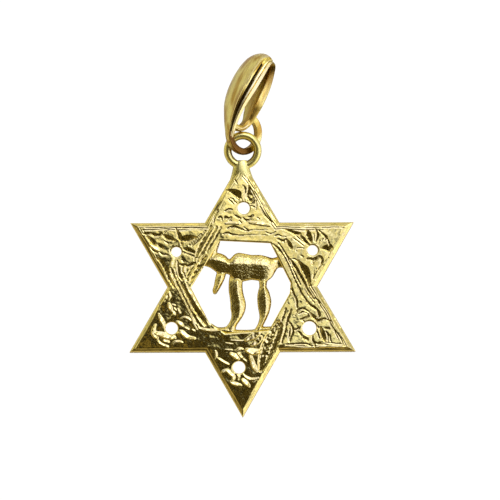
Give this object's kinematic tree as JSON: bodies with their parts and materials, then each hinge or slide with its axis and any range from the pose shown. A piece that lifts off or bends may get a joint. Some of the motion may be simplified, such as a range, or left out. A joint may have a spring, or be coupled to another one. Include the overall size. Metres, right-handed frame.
{
  "type": "star of david pendant",
  "caption": "Six-pointed star pendant with a pierced window emblem, engraved flowers, a soldered ring and a folded leaf bail.",
  "frame": {"origin": "middle of the star, on the plane of its flat back", "axes": "+Y from the middle of the star up through its top point to the bail, +Z out of the engraved front, +X to the right seen from the front"},
  "size_m": [0.026, 0.0423, 0.0052],
  "materials": {
    "polished_gold": "polished 14 carat yellow gold, bright cut by hand",
    "satin_gold": "14 carat yellow gold, worn satin"
  },
  "bodies": {
    "root": {"star": "polished_gold", "bail": "satin_gold"}
  },
  "joints": []
}
